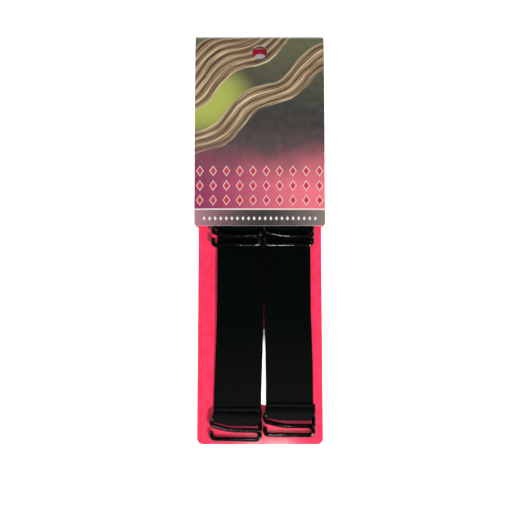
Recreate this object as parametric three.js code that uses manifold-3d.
// A pair of elastic wig grip bands on a folded hang card, lying on its back.
// Millimetres. X runs to the right across the card, Y up the card to the hang hole,
// Z out of the card's face. The origin is on the floor under the middle of the card.
import * as THREE from 'three';
import { mergeVertices } from 'three/addons/utils/BufferGeometryUtils.js';
import Module from 'manifold-3d';

const wasm = await Module();
wasm.setup();

// Clearances between pieces that touch on the real product
const GAP = 0.3;

// Header: one strip of board folded over the top of the backing card. Its round fold,
// with a radius to the middle of the board, leads into a front panel that bulges out.
const PACK_LENGTH = 223;
const HEADER_WIDTH = 70.7;
const HEADER_PANEL = 106.8;
const HEADER_BOARD = 0.6;
const HEADER_FOLD_RADIUS = 5;
const HEADER_FOLD_SWEEP = 168;
const HEADER_BULGE = 1.3;
const HEADER_LOWER_CORNER = 1.4;
const HEADER_TOP_CORNER = 0.8;

// Backing card, which steps down to the floor below the header's back panel
const CARD_WIDTH = 67;
const CARD_BOARD = 0.6;
const CARD_CORNER = 3;
const CARD_SHIFT = 0.15;
const CARD_STEP_START = 0.5;
const CARD_STEP_LENGTH = 16;
const SLOT_WIDTH = 5;
const SLOT_LENGTH = 40.2;
const SLOT_FOOT = 20.6;
const SLOT_X = 2.4;

// Hang holes, measured down from the fold
const HANG_HOLE = 8;
const HANG_HOLE_DROP = 10.7;
const CARD_HOLE = 7.4;
const CARD_HOLE_DROP = 11.45;
const CARD_HOLE_X = 0.3;

// Elastic bands, side by side with their seam a little right of the card's middle
const BAND_WIDTH = 25;
const BAND_THICK = 1;
const BAND_TOP_DROP = 22.3;
const BAND_ARCH = 0.6;
const BAND_LEAN = 1.5;
const BAND_SEAM_X = 2.27;
const BAND_STEPS = 8;
const RUN_STEPS = 14;
const BEND_STEPS = 8;

// The stitched hem of a band round a hook's top bar
const HEM_FLAP = 5.4;
const HEM_STITCH = 3.3;
const HEM_TIGHT = 0.15;
const HEM_INSET = 0.35;
const HEM_OPENING = [0.35, 0.6, 0.8, 1];
const HEM_TUCK_SHARE = 0.6;
const HEM_TUCK_POWER = 6;
const HEM_LOOP_SHARE = 0.3;
const RAW_GRIP = 0.3;
const STITCH_GRIP = 0.6;

// Bent wire hook: its overhang past the band, and the pitches of its three bars
const WIRE = 2.35;
const WIRE_SIDES = 10;
const WIRE_POINTS_APART = 0.05;
const HOOK_OVERHANG = 3;
const HOOK_LOOP_PITCH = 6.3;
const HOOK_MOUTH_PITCH = 4.8;
const HOOK_LOOP_ROOM = 0.15;
const HOOK_LOOP_RADIUS = 1.3;
const HOOK_LOOP_SWEEP = 74;
const HOOK_CORNER_RADIUS = 1.9;
const HOOK_TIP = 4.4;
const HOOK_BEND_SHARE = 0.42;
const HOOK_BEND_LEAVE = 0.25;
const HOOK_BEND_ARRIVE = 0.7;
const HOOK_CLOSING_END = 6.5;
const HOOK_LAP_STEPS = 6;
const HOOK_ARC_STEPS = 4;
const HOOK_SEAM_X = 1.55;
const HOOK_MARGIN = 1.4;
const HOOK_STAGGER = 2.25;
const HOOK_UNDER_HEADER = 1.05;

// The free stretch of a band arches off the card: its lift as a share of the arch, at
// shares of its length from the upper hook down
const ARCH = [
    { along: 0, lift: 0 },
    { along: 0.1, lift: 0.25 },
    { along: 0.24, lift: 1 },
    { along: 0.38, lift: 0.75 },
    { along: 0.62, lift: 0.3 },
    { along: 0.85, lift: 0.05 },
    { along: 1, lift: 0 },
];

// The header's front panel rises from its fold to a crest and comes down to the hems:
// its height over the hems as a share of the crest's, at shares of its length
const HEADER_RISE = [
    { along: 0.03, rise: 0.78 },
    { along: 0.07, rise: 0.93 },
    { along: 0.12, rise: 1 },
    { along: 0.33, rise: 1 },
    { along: 0.49, rise: 0.83 },
    { along: 0.6, rise: 0.48 },
    { along: 0.7, rise: 0.19 },
    { along: 0.82, rise: 0 },
    { along: 1, rise: 0 },
];

// How far each band's middle leans from its place beside the seam, as shares of the
// lean, at shares of the free stretch from the upper hook down
const LEAN_LEFT = [
    { along: 0, shift: 0 },
    { along: 0.42, shift: 0 },
    { along: 0.5, shift: -0.07 },
    { along: 0.61, shift: -0.31 },
    { along: 0.71, shift: -0.53 },
    { along: 0.81, shift: -0.77 },
    { along: 0.92, shift: -1 },
];
const LEAN_RIGHT = [
    { along: 0, shift: 0 },
    { along: 0.42, shift: 0 },
    { along: 0.5, shift: 0.1 },
    { along: 0.61, shift: 0.38 },
    { along: 0.71, shift: 0.53 },
    { along: 0.81, shift: 0.63 },
    { along: 0.92, shift: 0.63 },
];

// One row for each hook: its side of the seam, the turn in the card's plane in degrees,
// and the slack of the hem round its top bar
const HOOKS = {
    hook_upper_left: { side: -1, turn: 0, slack: 1.2 },
    hook_upper_right: { side: 1, turn: 0, slack: 1.2 },
    hook_lower_left: { side: -1, turn: -1.1, slack: 1.5 },
    hook_lower_right: { side: 1, turn: -0.6, slack: 0.95 },
};

// One row for each band: its two hooks, its side of the seam, its lean, the lean at the
// fold under the header, and the lower flap's shift as a share of the lean and its half
// widths as shares of the band's
const BANDS = {
    band_left: {
        upper: 'hook_upper_left',
        lower: 'hook_lower_left',
        side: -1,
        lean: LEAN_LEFT,
        foldShift: -0.55,
        flap: { shift: -0.88, raw: 1, bar: 1.035 },
    },
    band_right: {
        upper: 'hook_upper_right',
        lower: 'hook_lower_right',
        side: 1,
        lean: LEAN_RIGHT,
        foldShift: 0.19,
        flap: { shift: 0.92, raw: 1.035, bar: 1.05 },
    },
};

const boardColour = { header: 0x5b4a45, card: 0xf83c60 };
const materials = {
    header: new THREE.MeshStandardMaterial({ color: boardColour.header, roughness: 0.4, metalness: 0 }),
    card: new THREE.MeshStandardMaterial({ color: boardColour.card, roughness: 0.35, metalness: 0 }),
    elastic: new THREE.MeshStandardMaterial({ color: 0x0c0e0e, roughness: 0.85, metalness: 0 }),
    wire: new THREE.MeshStandardMaterial({ color: 0x050505, roughness: 0.2, metalness: 0.3 }),
};

// Places and heights that follow from the sizes and the stack of layers
const packTop = PACK_LENGTH / 2;
const packFoot = -packTop;
const headerFoot = packTop - HEADER_PANEL;
const bandTop = packTop - BAND_TOP_DROP;
const cardUpperFace = HEADER_BOARD + GAP + CARD_BOARD;
const cardLowerFace = CARD_BOARD;
const layerPitch = BAND_THICK + GAP;
const barPitch = WIRE / 2 + GAP + BAND_THICK / 2;
const backRunMiddle = cardUpperFace + GAP + BAND_THICK / 2;
const frontRunMiddle = backRunMiddle + 2 * layerPitch;
const upperBarHeight = backRunMiddle + layerPitch + barPitch;
const lowerBackMiddle = cardLowerFace + GAP + BAND_THICK / 2;
const lowerBarHeight = lowerBackMiddle + barPitch;
const headerClear = BAND_THICK / 2 + GAP + HEADER_BOARD / 2;
const headerFoldY = packTop - HEADER_BOARD / 2 - HEADER_FOLD_RADIUS;
const headerCrest = HEADER_BOARD / 2 + 2 * HEADER_FOLD_RADIUS + HEADER_BULGE;
const headerEdgeHeight = upperBarHeight + barPitch + headerClear;
const hookWidth = BAND_WIDTH + HOOK_OVERHANG;
const hookHeight = HOOK_LOOP_PITCH + HOOK_MOUTH_PITCH;
const hookX = (side) => HOOK_SEAM_X + side * (hookWidth + GAP) / 2;
const bandX = (side) => BAND_SEAM_X + side * (BAND_WIDTH + GAP) / 2;
const upperBarY = headerFoot + HOOK_UNDER_HEADER;
const lowerBarY = (side) => {
    const left = packFoot + HOOK_MARGIN + WIRE / 2 + hookHeight;
    return side < 0 ? left : left + HOOK_STAGGER;
};

const smooth = (t) => {
    const s = THREE.MathUtils.clamp(t, 0, 1);
    return s * s * (3 - 2 * s);
};

// A column's value at a share of the length, in straight steps between the rows
function lookUp(rows, along, column) {
    const next = rows.findIndex((row) => row.along > along);
    if (next === 0) return rows[0][column];
    if (next < 0) return rows[rows.length - 1][column];
    const [a, b] = [rows[next - 1], rows[next]];
    return THREE.MathUtils.lerp(a[column], b[column], (along - a.along) / (b.along - a.along));
}

function toManifold(geometry) {
    const bare = geometry.clone();
    bare.deleteAttribute('normal');
    bare.deleteAttribute('uv');
    const merged = mergeVertices(bare, 1e-4);
    return new wasm.Manifold(new wasm.Mesh({
        numProp: 3,
        vertProperties: new Float32Array(merged.attributes.position.array),
        triVerts: new Uint32Array(merged.index.array),
    }));
}

function toGeometry(manifold) {
    const mesh = manifold.getMesh();
    const geometry = new THREE.BufferGeometry();
    geometry.setAttribute('position', new THREE.BufferAttribute(mesh.vertProperties, 3));
    geometry.setIndex(new THREE.BufferAttribute(mesh.triVerts, 1));
    geometry.computeVertexNormals();
    return geometry;
}

function named(name, geometry, material) {
    const mesh = new THREE.Mesh(geometry, material);
    mesh.name = name;
    return mesh;
}

// The two faces of a bent sheet: each point of its middle line moved half the
// thickness along the line's normal, first down one side and then back up the other
function bothFaces(line, thickness) {
    const sides = [[], []];
    line.forEach((point, i) => {
        const before = line[Math.max(i - 1, 0)];
        const after = line[Math.min(i + 1, line.length - 1)];
        const along = after.clone().sub(before).normalize();
        const normal = new THREE.Vector2(-along.y, along.x).multiplyScalar(thickness / 2);
        sides[0].push(point.clone().sub(normal));
        sides[1].push(point.clone().add(normal));
    });
    return [...sides[0], ...sides[1].reverse()];
}

// A side profile in Y and Z, carried across X
function acrossCard(outline, width, steps = 1) {
    const geometry = new THREE.ExtrudeGeometry(new THREE.Shape(outline), {
        depth: width,
        steps,
        bevelEnabled: false,
    });
    geometry.applyMatrix4(new THREE.Matrix4().set(0, 0, 1, 0, 1, 0, 0, 0, 0, 1, 0, 0, 0, 0, 0, 1));
    return geometry;
}

// A straight-sided cutter that stands through the whole pack
function through(shape, curveSegments = 10) {
    const depth = 2 * (headerCrest + headerEdgeHeight);
    const geometry = new THREE.ExtrudeGeometry(shape, { depth, bevelEnabled: false, curveSegments });
    return toManifold(geometry.translate(0, 0, -depth / 2));
}

function roundHole(x, y, diameter) {
    const shape = new THREE.Shape();
    shape.absarc(x, y, diameter / 2, 0, 2 * Math.PI);
    return through(shape, 24);
}

// A panel's outline with its own radius on the upper and on the lower corners
function panelShape(left, right, foot, top, lowerRadius, upperRadius) {
    const shape = new THREE.Shape();
    const quarter = Math.PI / 2;
    shape.absarc(left + lowerRadius, foot + lowerRadius, lowerRadius, 2 * quarter, 3 * quarter);
    shape.absarc(right - lowerRadius, foot + lowerRadius, lowerRadius, 3 * quarter, 4 * quarter);
    shape.absarc(right - upperRadius, top - upperRadius, upperRadius, 0, quarter);
    shape.absarc(left + upperRadius, top - upperRadius, upperRadius, quarter, 2 * quarter);
    return shape;
}

function makeHeader() {
    const half = HEADER_BOARD / 2;
    const radius = HEADER_FOLD_RADIUS;
    const foldEnd = THREE.MathUtils.degToRad(HEADER_FOLD_SWEEP - 90);
    const side = new THREE.Path();
    side.moveTo(headerFoot, half);
    side.lineTo(headerFoldY, half);
    side.absarc(headerFoldY, half + radius, radius, -Math.PI / 2, foldEnd);
    side.splineThru(HEADER_RISE.map((row) => new THREE.Vector2(
        THREE.MathUtils.lerp(headerFoldY, headerFoot, row.along),
        THREE.MathUtils.lerp(headerEdgeHeight, headerCrest, row.rise),
    )));
    const sheet = acrossCard(bothFaces(side.getPoints(6), HEADER_BOARD), HEADER_WIDTH);
    const blank = toManifold(sheet.translate(-HEADER_WIDTH / 2, 0, 0));
    const outline = panelShape(
        -HEADER_WIDTH / 2, HEADER_WIDTH / 2, headerFoot, packTop, HEADER_LOWER_CORNER, HEADER_TOP_CORNER,
    );
    const hole = roundHole(0, packTop - HANG_HOLE_DROP, HANG_HOLE);
    const header = blank.intersect(through(outline)).subtract(hole);
    return named('header_card', toGeometry(header), materials.header);
}

function makeBackingCard() {
    const half = CARD_BOARD / 2;
    const upper = cardUpperFace - half;
    const lower = cardLowerFace - half;
    const top = headerFoldY;
    const side = new THREE.Path();
    const stepTop = headerFoot - CARD_STEP_START;
    const stepMiddle = stepTop - CARD_STEP_LENGTH / 2;
    const stepFoot = stepTop - CARD_STEP_LENGTH;
    side.moveTo(packFoot, lower);
    side.lineTo(stepFoot, lower);
    side.bezierCurveTo(stepMiddle, lower, stepMiddle, upper, stepTop, upper);
    side.lineTo(top, upper);
    const sheet = acrossCard(bothFaces(side.getPoints(8), CARD_BOARD), CARD_WIDTH);
    const left = CARD_SHIFT - CARD_WIDTH / 2;
    const blank = toManifold(sheet.translate(left, 0, 0));
    const outline = panelShape(left, left + CARD_WIDTH, packFoot, top, CARD_CORNER, CARD_CORNER);
    const slotFoot = packFoot + SLOT_FOOT;
    const slot = panelShape(
        SLOT_X - SLOT_WIDTH / 2, SLOT_X + SLOT_WIDTH / 2, slotFoot, slotFoot + SLOT_LENGTH,
        SLOT_WIDTH / 2, SLOT_WIDTH / 2,
    );
    const hole = roundHole(CARD_HOLE_X, packTop - CARD_HOLE_DROP, CARD_HOLE);
    const card = blank.intersect(through(outline)).subtract(through(slot)).subtract(hole);
    return named('backing_card', toGeometry(card), materials.card);
}

// The closing end of the hook's wire, from its cut end up to the top bar's corner: it
// comes straight down at x and laps in front of the turn
function closingEnd(x) {
    return Array.from({ length: HOOK_LAP_STEPS }, (_, i) => {
        const share = 1 - i / HOOK_LAP_STEPS;
        const y = THREE.MathUtils.lerp(-HOOK_CORNER_RADIUS, -HOOK_CLOSING_END, share);
        return new THREE.Vector3(x, y, (WIRE + GAP) * smooth(share));
    });
}

// Points along the hook's wire, with its top bar along y = 0: the closing end, the top
// bar, the closed loop, the middle bar, the turn, the lower bar and the tip
function hookLine() {
    const radius = HOOK_CORNER_RADIUS;
    const side = (hookWidth - WIRE) / 2;
    const turnRadius = HOOK_MOUTH_PITCH / 2;
    const turnX = side - turnRadius;
    const turnY = -HOOK_LOOP_PITCH - turnRadius;
    const loopEnd = THREE.MathUtils.degToRad(180 + HOOK_LOOP_SWEEP);
    const hemFoot = barPitch + BAND_THICK / 2 + HEM_TIGHT;
    const loopX = HOOK_LOOP_RADIUS - side;
    const bendX = loopX + HOOK_LOOP_RADIUS * Math.cos(loopEnd);
    const bendY = -(hemFoot + GAP + WIRE / 2 + HOOK_LOOP_ROOM);
    const loopY = bendY - HOOK_LOOP_RADIUS * Math.sin(loopEnd);
    const bend = HOOK_BEND_SHARE * hookWidth;
    const leave = bend * HOOK_BEND_LEAVE;
    const line = new THREE.Path();
    line.absarc(side - radius, -radius, radius, 0, Math.PI / 2);
    line.absarc(radius - side, -radius, radius, Math.PI / 2, Math.PI);
    line.absarc(loopX, loopY, HOOK_LOOP_RADIUS, Math.PI, loopEnd);
    line.bezierCurveTo(
        bendX - leave * Math.sin(loopEnd), bendY + leave * Math.cos(loopEnd),
        bendX + bend * HOOK_BEND_ARRIVE, -HOOK_LOOP_PITCH,
        bendX + bend, -HOOK_LOOP_PITCH,
    );
    line.absarc(turnX, turnY, turnRadius, Math.PI / 2, -Math.PI / 2, true);
    line.absarc(radius - side, radius - hookHeight, radius, -Math.PI / 2, -Math.PI, true);
    line.lineTo(-side, HOOK_TIP - hookHeight);
    const flat = line.getPoints(HOOK_ARC_STEPS).map((point) => new THREE.Vector3(point.x, point.y, 0));
    return [...closingEnd(side), ...flat];
}

// A path through given points with one ring of the wire at each of them
class WirePath extends THREE.Curve {
    constructor(points) {
        super();
        this.points = points;
    }

    getPoint(t) {
        const place = THREE.MathUtils.clamp(t, 0, 1) * (this.points.length - 1);
        const i = Math.min(Math.floor(place), this.points.length - 2);
        return this.points[i].clone().lerp(this.points[i + 1], place - i);
    }

    getPointAt(u) {
        return this.getPoint(u);
    }

    getTangentAt(u) {
        return this.getTangent(u);
    }
}

function makeHook(name, barY, barHeight, restHeight) {
    const row = HOOKS[name];
    const points = hookLine()
        .filter((point, i, all) => i === 0 || point.distanceTo(all[i - 1]) > WIRE_POINTS_APART);
    const ring = Array.from({ length: WIRE_SIDES }, (_, i) => {
        const angle = (2 * Math.PI * i) / WIRE_SIDES;
        return new THREE.Vector2(Math.cos(angle), Math.sin(angle)).multiplyScalar(WIRE / 2);
    });
    const geometry = new THREE.ExtrudeGeometry(new THREE.Shape(ring), {
        extrudePath: new WirePath(points),
        steps: points.length - 1,
        bevelEnabled: false,
    });
    const hook = named(name, geometry, materials.wire);
    hook.rotation.order = 'ZXY';
    hook.rotation.x = Math.asin((barHeight - restHeight) / hookHeight);
    hook.rotation.z = THREE.MathUtils.degToRad(row.turn);
    hook.position.set(hookX(row.side), barY, barHeight);
    return hook;
}

// Height of the middle of a band's free stretch, at a share of the way down it
function freeHeight(along) {
    const straight = THREE.MathUtils.lerp(backRunMiddle, lowerBackMiddle, along);
    return straight + BAND_ARCH * lookUp(ARCH, along, 'lift');
}

// Height off a bar's middle of a layer that runs straight from the stitching, where its
// height is start, to the circle of the hem round the bar, and from there along it
function roundBar(y, start, side) {
    const stitch = new THREE.Vector2(HEM_STITCH, start);
    const touch = stitch.angle() + side * Math.acos(barPitch / stitch.length());
    const touchY = barPitch * Math.cos(touch);
    if (y < touchY) return side * Math.sqrt(barPitch ** 2 - y ** 2);
    const share = (HEM_STITCH - y) / (HEM_STITCH - touchY);
    return THREE.MathUtils.lerp(start, barPitch * Math.sin(touch), share);
}

// The stations of one hem round a hook's top bar, from its raw edge to the band's run:
// the flap, the front of the loop, its foot and the back of the loop. A station has its
// height y up the card and z off it, the band's middle x and half width there, how far
// it follows the hook's turn, and how far its left edge is drawn up.
function hemStations(name, bar, flap, run, widths) {
    const hook = HOOKS[name];
    const half = BAND_WIDTH / 2;
    const middle = hookX(hook.side);
    const narrow = hookWidth / 2 - WIRE - HEM_INSET;
    const out = Math.sign(flap.z - run.z);
    const lift = hook.slack - HEM_TIGHT;
    const base = { turn: hook.turn, turnX: middle, lift: 0 };
    const stitchHalf = half * (widths.raw + widths.bar) / 2;
    const level = { ...base, z: flap.z, x: flap.x };
    const flapSide = [
        { ...level, y: bar.y + HEM_FLAP, half: half * widths.raw, grip: RAW_GRIP },
        { ...level, y: bar.y + HEM_STITCH, half: stitchHalf, grip: STITCH_GRIP },
    ];
    const open = (end, share, side) => ({
        ...base,
        y: bar.y + HEM_STITCH * (1 - share),
        z: bar.z + roundBar(HEM_STITCH * (1 - share), end.z - bar.z, side),
        x: THREE.MathUtils.lerp(end.x, middle, share / 2),
    });
    const front = HEM_OPENING.map((share) => (
        { ...open(flap, share, out), half: half * widths.bar, grip: 1 }
    ));
    const foot = Array.from({ length: BEND_STEPS + 1 }, (_, i) => {
        const angle = (Math.PI * i) / BEND_STEPS;
        const flat = Math.abs(Math.cos(angle)) ** HEM_TUCK_POWER;
        return {
            ...base,
            y: bar.y - hook.slack - barPitch * Math.sin(angle),
            z: bar.z + out * barPitch * Math.cos(angle),
            x: THREE.MathUtils.lerp(middle, flap.x, flat / 4),
            half: THREE.MathUtils.lerp(narrow, half, HEM_TUCK_SHARE * flat),
            grip: 1,
            lift: lift * Math.sqrt(Math.sin(angle)),
        };
    });
    const back = [...HEM_OPENING].reverse().map((share) => (
        { ...open(run, share, -out), half, grip: share }
    ));
    const runEnd = { ...base, y: bar.y + HEM_STITCH, z: run.z, x: run.x, half, grip: 0 };
    return [...flapSide, ...front, ...foot, ...back, runEnd];
}

// Stations down a band's middle line, from the stitched flap at the lower hook, round
// its bar, up the card, over the fold and down in front to the flap at the upper hook
function bandStations(row) {
    const half = BAND_WIDTH / 2;
    const beside = bandX(row.side);
    const lowerY = lowerBarY(row.side);
    const still = { half, turn: 0, turnX: 0, grip: 0, lift: 0 };
    const foot = beside + BAND_LEAN * lookUp(row.lean, 1, 'shift');
    const lower = hemStations(
        row.lower,
        { y: lowerY, z: lowerBarHeight },
        { x: beside + BAND_LEAN * row.flap.shift, z: lowerBackMiddle + layerPitch },
        { x: foot, z: lowerBackMiddle },
        row.flap,
    );
    const free = Array.from({ length: RUN_STEPS }, (_, i) => {
        const along = (RUN_STEPS - 1 - i) / RUN_STEPS;
        return {
            ...still,
            y: THREE.MathUtils.lerp(upperBarY, lowerY, along),
            z: freeHeight(along),
            x: beside + BAND_LEAN * lookUp(row.lean, along, 'shift'),
        };
    });
    const foldRadius = (headerCrest - headerClear - backRunMiddle) / 2;
    const foldY = bandTop - foldRadius - BAND_THICK / 2;
    const fold = Array.from({ length: BEND_STEPS + 1 }, (_, i) => {
        const angle = (Math.PI * i) / BEND_STEPS;
        return {
            ...still,
            y: foldY + foldRadius * Math.sin(angle),
            z: backRunMiddle + foldRadius * (1 - Math.cos(angle)),
            x: beside + BAND_LEAN * row.foldShift,
        };
    });
    const upperX = hookX(row.side);
    const upper = hemStations(
        row.upper,
        { y: upperBarY, z: upperBarHeight },
        { x: upperX, z: backRunMiddle + layerPitch },
        { x: upperX, z: frontRunMiddle },
        { raw: 1, bar: 1.03 },
    );
    return [...lower, ...free, ...fold, ...upper.reverse()];
}

// How far the left part of a hem's foot is drawn up by the hook's loop below it, at a
// share of the half width
const loopShare = (u) => smooth((-u - HEM_LOOP_SHARE) / (1 - HEM_LOOP_SHARE));

function makeBand(name) {
    const stations = bandStations(BANDS[name]);
    const line = stations.map((station) => new THREE.Vector2(station.y, station.z));
    const outline = bothFaces(line, BAND_THICK);
    const owners = [...stations, ...stations.slice().reverse()];
    const geometry = acrossCard(outline, 1, BAND_STEPS);
    const place = geometry.attributes.position;
    for (let i = 0; i < place.count; i += 1) {
        const point = new THREE.Vector2(place.getY(i), place.getZ(i));
        let nearest = 0;
        outline.forEach((other, k) => {
            if (other.distanceToSquared(point) < outline[nearest].distanceToSquared(point)) nearest = k;
        });
        const station = owners[nearest];
        const u = 2 * place.getX(i) - 1;
        const x = station.x + station.half * u;
        const turn = station.grip * Math.tan(THREE.MathUtils.degToRad(station.turn));
        const y = point.x + turn * (x - station.turnX) + station.lift * loopShare(u);
        place.setXYZ(i, x, y, point.y);
    }
    geometry.computeVertexNormals();
    return named(name, geometry, materials.elastic);
}

// Heights of the hooks' lower bars, on the band's back run above and on the card below
const upperRest = freeHeight(hookHeight / (upperBarY - lowerBarY(-1))) + barPitch;
const lowerRest = cardLowerFace + GAP + WIRE / 2;

const group = new THREE.Group();
group.add(
    makeHeader(),
    makeBackingCard(),
    makeBand('band_left'),
    makeBand('band_right'),
    makeHook('hook_upper_left', upperBarY, upperBarHeight, upperRest),
    makeHook('hook_upper_right', upperBarY, upperBarHeight, upperRest),
    makeHook('hook_lower_left', lowerBarY(-1), lowerBarHeight, lowerRest),
    makeHook('hook_lower_right', lowerBarY(1), lowerBarHeight, lowerRest),
);

export default group;
